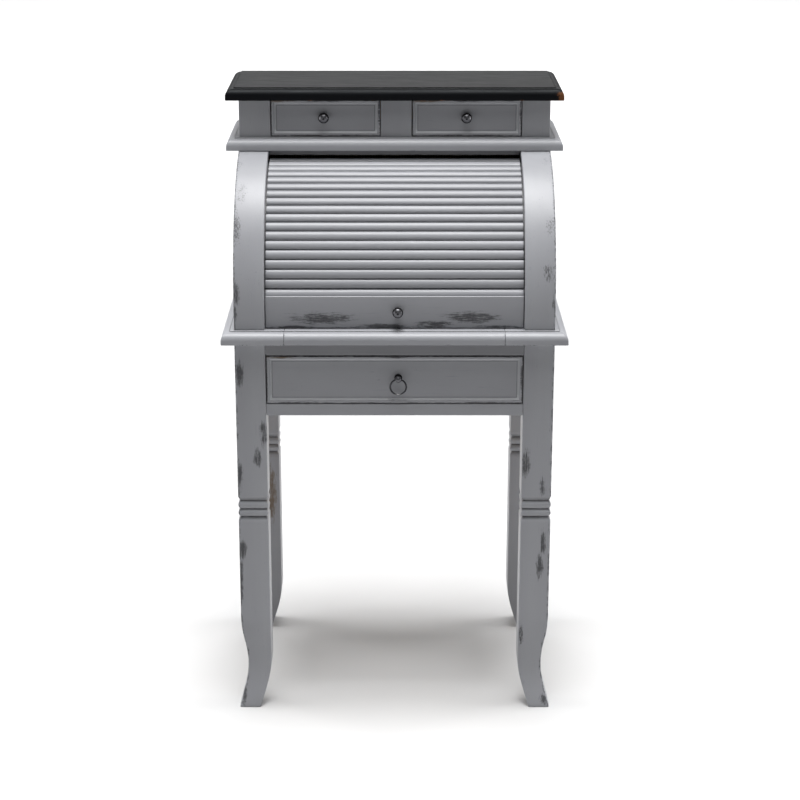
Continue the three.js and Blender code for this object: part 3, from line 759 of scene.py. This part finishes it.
def drawer_front(node, material):
    """A front with a frame and a cove round its sunk panel. Painted shadow darkens its top and
    left edges beside the gap, glazing and painted shade darken the foot of the cove, and a painted
    highlight lightens the cove, most on its lower side."""
    low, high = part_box(node)
    depth = high.y - low.y
    flat, slope, recess, eased = 0.0055, 0.0045, 0.0040, 0.0002
    inner = flat + slope
    profile = [  # (inset, distance behind the face, edge, darkening by glazing and painted shade)
        (0.0, depth, 0, 0), (0.0, 0.0012, 0.9, 0), (0.0004, 0.0004, 1, 0), (0.0012, 0.0, 1, 0),
        (0.0022, 0.0, 0.5, 0), (0.0036, 0.0, 0.2, 0), (flat - 0.0006, 0.0, 0.3, 0), (flat, eased, 0.2, 0),
    ]
    for k in range(1, 9):
        angle = math.pi / 2 * k / 8
        inset = flat + slope * (1 - math.cos(angle))
        profile.append((inset, eased + (recess - eased) * math.sin(angle), 0, 0))
    profile += [(inner + 0.0003, recess, 0, 0.9), (inner + 0.0012, recess, 0, 0.4)]
    profile += [(inner + beyond, recess, 0, 0) for beyond in (0.0020, 0.006, 0.016)]
    rings = []
    for inset, back, edge, glaze_and_shade in profile:
        ring = rounded_ring(low.x + inset, high.x - inset, low.z + inset, high.z - inset, 0.0004, 0.03)
        rim = 1.0 if inset < 0.0014 else 0.35 if inset < 0.0024 else 0.0
        in_cove = flat < inset < inner
        points = []
        for u, v, e in ring:
            worn = max(edge, e * 0.5 if inset < 0.010 else 0)
            # Painted shadow along the top and left edges, beside the gap.
            dark = max(glaze_and_shade, rim if v > high.z - 0.002 or u < low.x + 0.002 else 0.0)
            # Painted highlight on the cove, full on its lower side.
            pale = 0.0 if not in_cove else 1.0 if v < low.z + inner else 0.3
            points.append((u, low.y + back, v, worn, dark, pale))
        rings.append(points)
    make(f"{node}_framed", *loft(rings), node, material)


FORWARDS = (0, -1, 0)


def knob_profile():
    """A turned knob as (radius, height, edge, darkening by glazing and painted shade) in millimetres:
    a foot and a short neck darkened as hollows, and a dome with painted shade round its rim, rubbed
    bright on its crown, with a dimple in the middle."""
    dome_radius, dome_height, dome_middle = 10.15, 9.0, 8.9
    profile = [(0, 0, 0, 1), (7.2, 0, 0, 1), (7.2, 0.8, 0.2, 1), (6.8, 1.4, 0.4, 1), (5.0, 2.0, 0, 1),
               (4.2, 2.7, 0, 1), (4.5, 3.4, 0, 1), (6.4, 4.0, 0, 1), (8.2, 4.6, 0, 1)]
    for k in range(21):
        angle = math.radians(112 - 97 * k / 20)
        radius, height = dome_radius * math.sin(angle), dome_middle + dome_height * math.cos(angle)
        # Painted shade round the rim of the dome, which is dark all over below its middle; the crown inside
        # is rubbed bright.
        rim = min(1.0, max(0.0, (radius - 7.5) / 1.5)) if height > 9 else 1.0
        profile.append((radius, height, 1 - rim, rim))
    return profile + [(2.0, 17.35, 0, 0.2), (1.1, 17.15, 0, 0.4), (0, 17.1, 0, 0.4)]


def add_knob(node, material):
    """A turned knob that points forwards."""
    low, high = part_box(node)
    base = ((low.x + high.x) / 2, (low.y + high.y) / 2 + 0.009, (low.z + high.z) / 2)
    points, faces = lathe([(r * MM, h * MM, e, g) for r, h, e, g in knob_profile()])
    make(f"{node}_turned", moved(points, base, FORWARDS), faces, node, material, "dark_metal", 50)


def add_ring_pull(material):
    """The ring, worn at its lowest part, where it is pulled, with a painted highlight inside that part."""
    low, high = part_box("ring_pull")
    centre = (low + high) / 2
    wire = (high.y - low.y) / 2
    ring_radius = (high.x - low.x) / 2 - wire
    points, faces = [], []
    around, across = 96, 20
    for i in range(around):
        a = 2 * math.pi * i / around
        for j in range(across):
            b = 2 * math.pi * j / across
            r = ring_radius + wire * math.cos(b)
            rubbed = max(0.0, -math.cos(a))
            # Painted highlight on the inner side of the ring's lowest part.
            bright = rubbed ** 20 * (0.5 - 0.5 * math.cos(b)) ** 2
            x, y, z = centre.x + r * math.sin(a), centre.y + wire * math.sin(b), centre.z + r * math.cos(a)
            points.append((x, y, z, rubbed ** 3, 0, bright))
            here, there, k = i * across, (i + 1) % around * across, (j + 1) % across
            faces.append((here + j, here + k, there + k, there + j))
    make("ring_pull_wire", points, faces, "ring_pull", material, "dark_metal", 60)


def add_ring_post(material):
    """A ball on a turned neck, drilled crosswise for the ring."""
    low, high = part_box("ring_pull_post")
    x, z = (low.x + high.x) / 2, (low.z + high.z) / 2
    ball, out, neck, hole = 6.4, 10.7, 3.9, 3.3
    profile = [(0, 0, 0), (7.4, 0, 0), (7.4, 0.6, 0.5), (6.9, 1.2, 0.6), (5.6, 1.9, 0.1), (4.4, 2.5, 0),
               (neck, 3.4, 0)]
    start = math.asin(neck / ball)
    for k in range(19):
        angle = math.pi - start - (math.pi - start) * k / 18
        profile.append((max(ball * math.sin(angle), 0.0), out + ball * math.cos(angle), 0.3 + 0.7 * k / 18))
    profile[-1] = (0, out + ball, 1)
    # The foot, the neck and the back half of the ball are darkened.
    points, faces = lathe([(r * MM, h * MM, e, 0.0 if h > out else 0.9) for r, h, e in profile])
    points = moved(points, (x, high.y, z), FORWARDS)
    piece = make("ring_post_turned", points, faces, "ring_pull_post", material, "dark_metal", 50)
    drill = bpy.data.meshes.new("drill")
    work = bmesh.new()
    bmesh.ops.create_cone(work, cap_ends=True, segments=40, radius1=hole * MM, radius2=hole * MM, depth=0.03)
    work.to_mesh(drill)
    work.free()
    cutter = bpy.data.objects.new("drill", drill)
    scene.collection.objects.link(cutter)
    cutter.location = (x, high.y - out * MM, z)
    cutter.rotation_euler = (0, math.pi / 2, 0)
    cut = piece.modifiers.new("hole", "BOOLEAN")
    cut.operation, cut.object, cut.solver = "DIFFERENCE", cutter, "EXACT"
    bpy.context.view_layer.update()
    drilled = bpy.data.meshes.new_from_object(piece.evaluated_get(bpy.context.evaluated_depsgraph_get()))
    piece.modifiers.clear()
    piece.data = drilled
    bpy.data.objects.remove(cutter)
    drilled.set_sharp_from_angle(angle=math.radians(50))


# ---------------------------------------------------------------- camera, light, floor

def add_camera():
    camera = bpy.data.objects.new("camera", bpy.data.cameras.new("camera"))
    camera.data.lens = CAMERA_LENS
    camera.data.sensor_width = CAMERA_SENSOR
    camera.data.shift_x = CAMERA_SHIFT
    camera.location = CAMERA_PLACE
    camera.rotation_euler = (math.radians(CAMERA_TURN), 0, 0)
    scene.collection.objects.link(camera)
    scene.camera = camera


def add_area(name, size, location, target, power):
    light = bpy.data.lights.new(name, "AREA")
    light.shape = "RECTANGLE"
    light.size, light.size_y = size
    light.energy = power
    lamp = bpy.data.objects.new(name, light)
    lamp.location = location
    lamp.rotation_euler = (Vector(target) - Vector(location)).to_track_quat("-Z", "Y").to_euler()
    lamp.visible_camera = False
    scene.collection.objects.link(lamp)


def add_sun(name, tilt, angle, energy):
    """An overhead light that leans towards the front by the tilt, in degrees."""
    light = bpy.data.lights.new(name, "SUN")
    light.energy = energy
    light.angle = math.radians(angle)
    lamp = bpy.data.objects.new(name, light)
    lamp.rotation_euler = (math.radians(tilt), 0, 0)
    scene.collection.objects.link(lamp)


def add_light():
    """Soft light from above, a box over the front, one at each side, and a wash behind."""
    world = bpy.data.worlds.new("studio")
    scene.world = world
    world.use_nodes = True
    background = world.node_tree.nodes["Background"]
    background.inputs["Color"].default_value = (0.96, 0.98, 1.0, 1)
    background.inputs["Strength"].default_value = 0.01
    add_sun("overhead", 1, 24, 3.7)
    add_sun("overhead_front", 16, 24, 0.68)
    add_area("front_box", (1.6, 1.0), (0, -0.7, 2.8), (0, 0, 0.9), 15)
    add_area("left_box", (1.8, 2.2), (-2.6, 0.40, 1.1), (0, 0.2, 0.6), 66)
    add_area("right_box", (1.8, 2.2), (2.6, 0.40, 1.1), (0, 0.2, 0.6), 66)
    add_area("backdrop_wash", (9, 7), (0, 8.0, 4.5), (0, 8.0, 0), 500)


def add_floor():
    mesh = bpy.data.meshes.new("floor")
    reach = 40.0
    mesh.from_pydata([(-reach, -reach, 0), (reach, -reach, 0), (reach, reach, 0), (-reach, reach, 0)],
                     [], [(0, 1, 2, 3)])
    n = Nodes("pale_floor")
    cloud = n.noise(3, detail=2)
    colour = n.mix(n.ramp(cloud, 0.3, 0.7), (0.505, 0.505, 0.506, 1), (0.515, 0.515, 0.516, 1))
    n.finish(colour, 0.85, n.bump(cloud, 0.01, 0.001), Specular_IOR_Level=0.1)
    mesh.materials.append(n.material)
    floor = bpy.data.objects.new("floor", mesh)
    scene.collection.objects.link(floor)


# ---------------------------------------------------------------- the desk

def add_desk():
    legs_l = paint("paint_leg_left", "Z", seed=1.3, rubbed=[
        ((-0.249, -0.209, 0.572), (0.015, 0.03, 0.040)), ((-0.262, -0.209, 0.525), (0.016, 0.03, 0.030)),
        ((-0.293, -0.209, 0.690), (0.013, 0.03, 0.050)), ((-0.298, -0.209, 0.49), (0.012, 0.03, 0.05)),
        ((-0.294, -0.209, 0.335), (0.012, 0.03, 0.035)), ((-0.300, -0.209, 0.27), (0.009, 0.03, 0.10)),
        ((-0.299, -0.209, 0.03), (0.010, 0.03, 0.05))])
    legs_r = paint("paint_leg_right", "Z", seed=5.1, rubbed=[
        ((0.252, -0.209, 0.515), (0.014, 0.03, 0.050)), ((0.285, -0.209, 0.465), (0.012, 0.03, 0.030)),
        ((0.283, -0.209, 0.30), (0.012, 0.03, 0.05)), ((0.288, -0.209, 0.35), (0.010, 0.03, 0.04)),
        ((0.249, -0.209, 0.15), (0.008, 0.03, 0.04)), ((0.296, -0.209, 0.015), (0.016, 0.03, 0.02))])
    legs_b = paint("paint_leg_rear", "Z", seed=8.2, brown=[((-0.262, 0.172, 0.31), (0.02, 0.03, 0.12))])
    add_leg("leg_front_left", -1, True, legs_l)
    add_leg("leg_front_right", 1, True, legs_r)
    add_leg("leg_rear_left", -1, False, legs_b)
    add_leg("leg_rear_right", 1, False, legs_b)

    along = paint("paint_across", "X", seed=2.2, edge_wear=0.6)
    deep = paint("paint_deep", "Y", seed=3.4, edge_wear=0.8)
    upright = paint("paint_upright", "Z", seed=4.4, edge_wear=0.8)
    # Painted shade: the cabinet's stiles are darkened as if in the black top's shadow.
    cabinet = paint("paint_cabinet", "Z", seed=5.7, edge_wear=0.6, shade=0.12)
    runner_wood = bare_wood("raw_wood", "Y", (0.54, 0.36, 0.205, 1), (0.43, 0.26, 0.135, 1))
    drawer_wood = bare_wood("raw_wood_tray", "X", (0.54, 0.37, 0.215, 1), (0.44, 0.275, 0.145, 1), 0.7)
    ply = bare_wood("plywood", "Z", (0.58, 0.41, 0.25, 1), (0.47, 0.31, 0.175, 1), seed=1.9, rings=False)
    metal = antique_metal("antique_metal")

    # Painted shadow: the top rail is darkened as if in the ledge's shadow.
    under_ledge = paint("paint_under_ledge_shaded", "X", seed=2.9, edge_wear=0.6, shade=0.50)
    add_bar("apron_top_rail", under_ledge, "X", 0.0008)
    add_bar("apron_bottom_rail", along, "X")
    add_bar("apron_rear", along, "X")
    for side in ("left", "right"):
        add_bar(f"apron_side_{side}", deep, "Y")

    moulded("desktop_left", ("left", "front"), deep)
    moulded("desktop_right", ("right", "front"), deep)
    add_bar("desktop_rear", along, "X", 0.0005)
    board_low, board_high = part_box("writing_board")
    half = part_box("desktop_rear")[1].x - 0.0005
    board = (Vector((-half, board_low.y, board_low.z)), Vector((half, board_high.y, board_high.z)))
    moulded("writing_board", ("front",), along, body=board)
    moulded("cornice_board", ("left", "front", "right"), along)
    black = black_paint("black_top", "X", brown=[((0.318, 0.0, 1.18), (0.03, 0.02, 0.02))])
    moulded("top_board", ("left", "front", "right"), black, "black_paint")

    band_l = paint("paint_band_left", "Z", seed=6.6, rubbed=[
        ((-0.294, -0.02, 1.050), (0.017, 0.05, 0.028)), ((-0.290, -0.09, 1.005), (0.025, 0.06, 0.044)),
        ((-0.296, -0.15, 0.945), (0.017, 0.05, 0.07)), ((-0.296, -0.20, 0.845), (0.016, 0.04, 0.038)),
        ((-0.299, -0.21, 0.81), (0.008, 0.03, 0.03))])
    band_r = paint("paint_band_right", "Z", seed=7.7, rubbed=[
        ((0.288, -0.02, 1.050), (0.022, 0.05, 0.028)), ((0.292, -0.07, 1.015), (0.018, 0.05, 0.038)),
        ((0.291, -0.14, 0.955), (0.022, 0.05, 0.045)), ((0.288, -0.18, 0.885), (0.021, 0.05, 0.035)),
        ((0.298, -0.20, 0.83), (0.009, 0.04, 0.03))])
    add_band("arch_band_left", band_l)
    add_band("arch_band_right", band_r)
    for side in ("left", "right"):
        slab(hutch_side_outline(), f"hutch_side_{side}", upright)
        slab(liner_outline(), f"hutch_liner_{side}", upright)
    add_bar("hutch_back", ply, "Z", 0.0006, "plywood")
    add_bar("compartment_back", along, "X")
    # Painted shade: the valance is darkened as if deep in the recess under the cornice.
    add_bar("valance", paint("paint_valance_shaded", "X", seed=12.4, shade=0.60), "X")

    # Painted shade in the gaps between the slats.
    slats = paint("paint_slats", "X", seed=9.1, edge_wear=0.3, slat_gaps=True)
    rail = paint("paint_rail", "X", seed=10.3, rubbed=[
        ((-0.135, -0.203, 0.799), (0.100, 0.03, 0.020)), ((-0.02, -0.203, 0.783), (0.095, 0.03, 0.009)),
        ((0.075, -0.203, 0.787), (0.065, 0.03, 0.013)), ((0.145, -0.203, 0.800), (0.090, 0.03, 0.020)),
        ((-0.19, -0.203, 0.781), (0.080, 0.03, 0.006)), ((0.19, -0.203, 0.782), (0.080, 0.03, 0.006))])
    for index in range(SLAT_COUNT):
        add_slat(index, slats)
    add_rail(rail)
    add_knob("tambour_knob", metal)

    for node in ("desk_drawer_front", "left_drawer_front", "right_drawer_front"):
        low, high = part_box(node)
        bare = [((low.x + 0.02, low.y, high.z - 0.002), (0.06, 0.02, 0.005))]
        coat = paint(f"paint_{node}", "X", seed=11 + low.x * 9, edge_wear=1.2, brown=bare, rubbed=[
            ((low.x + 0.07, low.y, low.z + 0.001), (0.10, 0.02, 0.004)),
            ((high.x - 0.07, low.y, low.z + 0.001), (0.09, 0.02, 0.004)),
            (((low.x + high.x) / 2, low.y, high.z - 0.001), (0.06, 0.02, 0.005)),
            ((high.x - 0.02, low.y, high.z - 0.001), (0.03, 0.02, 0.004)),
            ((high.x - 0.002, low.y, low.z + 0.05), (0.004, 0.02, 0.05))])
        drawer_front(node, coat)
    for side in ("left", "right"):
        add_knob(f"{side}_drawer_knob", metal)
    add_ring_post(metal)
    add_ring_pull(metal)

    for node in ("drawer_runner_left", "drawer_runner_right"):
        dress(node, runner_wood)
    for node in ("desk_drawer_box", "left_drawer_tray", "right_drawer_tray"):
        dress(node, drawer_wood)
    for node in ("desk_drawer_bottom", "cabinet_back"):
        dress(node, ply)
    for side in ("left", "middle", "right"):
        dress(f"cabinet_stile_{side}", cabinet)


def dress(node, material):
    """Keeps a CAD node as it is, eases its arrises and gives it its material."""
    piece = frame["nodes"][node]
    piece.data.materials.clear()
    piece.data.materials.append(material)
    weld = piece.modifiers.new("weld", "WELD")
    weld.merge_threshold = 0.00001
    bevel = piece.modifiers.new("ease", "BEVEL")
    bevel.width, bevel.segments, bevel.limit_method = 0.0007, 2, "ANGLE"
    bevel.angle_limit = math.radians(30)


scene.view_settings.view_transform = "Standard"
add_camera()
add_light()
add_floor()
add_desk()
